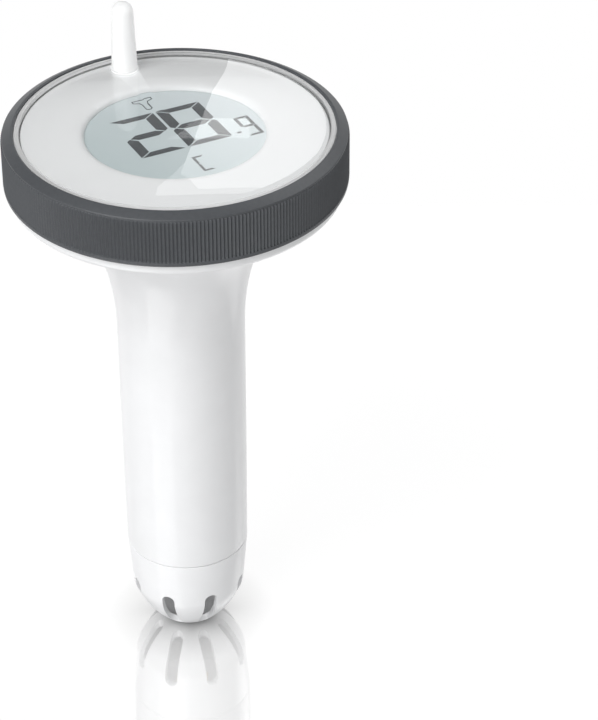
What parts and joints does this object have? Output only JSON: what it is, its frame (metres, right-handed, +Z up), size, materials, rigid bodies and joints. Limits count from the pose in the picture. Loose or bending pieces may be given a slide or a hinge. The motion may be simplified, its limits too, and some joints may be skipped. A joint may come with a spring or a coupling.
{
  "type": "floating pool thermometer",
  "caption": "Floating pool thermometer: dark ribbed screw ring over a clear-topped display head, hollow white stem and slotted probe guard.",
  "frame": {"origin": "centre of the foot, the lowest point of the probe guard", "axes": "+Z up along the stem; the display is read from the -Y side and the mast stands towards +Y"},
  "size_m": [0.1008, 0.1008, 0.1998],
  "materials": {
    "white_shell": "glossy moulded ABS",
    "dial_white": "satin white moulding",
    "ring_grey": "fine satin, dark grey",
    "clear_lens": "clear polished polycarbonate",
    "grey_silicone": "matt grey silicone",
    "white_sleeve": "white moulded sleeve",
    "copper_wire": "bare spring wire",
    "lcd_glass": "grey-green display glass",
    "lcd_ink": "dark lit segments",
    "reflector": "satin silver film",
    "inner_white": "plain white moulding",
    "zebra_rubber": "striped contact rubber",
    "board_green": "solder mask over copper",
    "screw_steel": "zinc plated",
    "radio_can": "tin plated",
    "black_epoxy": "cast epoxy",
    "capacitor_sleeve": "shrunk sleeve",
    "switch_body": "moulded",
    "control_grey": "moulded grey",
    "battery_jacket": "printed jacket, plain bands",
    "nickel": "nickel plated",
    "lead_red_black": "wire insulation",
    "stainless": "drawn stainless",
    "black_rubber": "O-ring rubber",
    "brass_nut": "turned brass",
    "zinc_steel": "zinc plated",
    "grey_lead": "grey lead insulation"
  },
  "bodies": {
    "float_body": {"float_shell": "white_shell", "probe_guard": "white_shell", "probe_thimble": "stainless", "thimble_seal": "black_rubber", "thimble_nut": "brass_nut", "thermistor": "black_epoxy", "ballast_weight": "zinc_steel", "sensor_leads": "grey_lead"},
    "head": {"lens_cover": "clear_lens", "seal_gasket": "grey_silicone", "antenna_sleeve": "white_sleeve", "antenna_coil": "copper_wire", "bezel": "dial_white", "lcd_cell": "lcd_glass", "lcd_segments": "lcd_ink", "lcd_reflector": "reflector", "lcd_frame": "inner_white", "zebra_strips": "zebra_rubber", "main_pcb": "board_green", "pcb_screws": "screw_steel", "rf_module": "radio_can", "chip_blob": "black_epoxy", "crystal_can": "stainless", "capacitor": "capacitor_sleeve", "tact_switch": "switch_body", "slide_switch": "radio_can", "rear_cover": "inner_white", "cover_screws": "screw_steel", "battery_holder": "inner_white", "holder_screws": "screw_steel", "battery_left": "battery_jacket", "battery_right": "battery_jacket", "battery_springs": "nickel", "battery_contacts": "nickel", "battery_leads": "lead_red_black"},
    "lock_ring": {"lock_ring": "ring_grey"},
    "unit_button": {"unit_button": "control_grey"},
    "channel_switch": {"channel_switch": "control_grey"}
  },
  "joints": [
    {"name": "head_lift", "type": "slide", "parent": "float_body", "child": "head", "axis": [0, 0, 1], "range_m": [0, 0.0061], "deforming": ["sensor_leads"]},
    {"name": "ring_turn", "type": "hinge", "parent": "head", "child": "lock_ring", "pos_m": [0, 0, 0.1695], "axis": [0, 0, 1], "range_deg": [0, 540]},
    {"name": "button_press", "type": "slide", "parent": "head", "child": "unit_button", "axis": [0, 0, 1], "range_m": [0, 0.0006], "stiffness_N_per_m": 800, "springref_m": -0.0004},
    {"name": "switch_slide", "type": "slide", "parent": "head", "child": "channel_switch", "axis": [1, 0, 0], "range_m": [-0.002, 0.002]}
  ],
  "couplings": [
    {"joint": "head_lift", "follows": "ring_turn", "m_per_rad": 0.00063662}
  ]
}
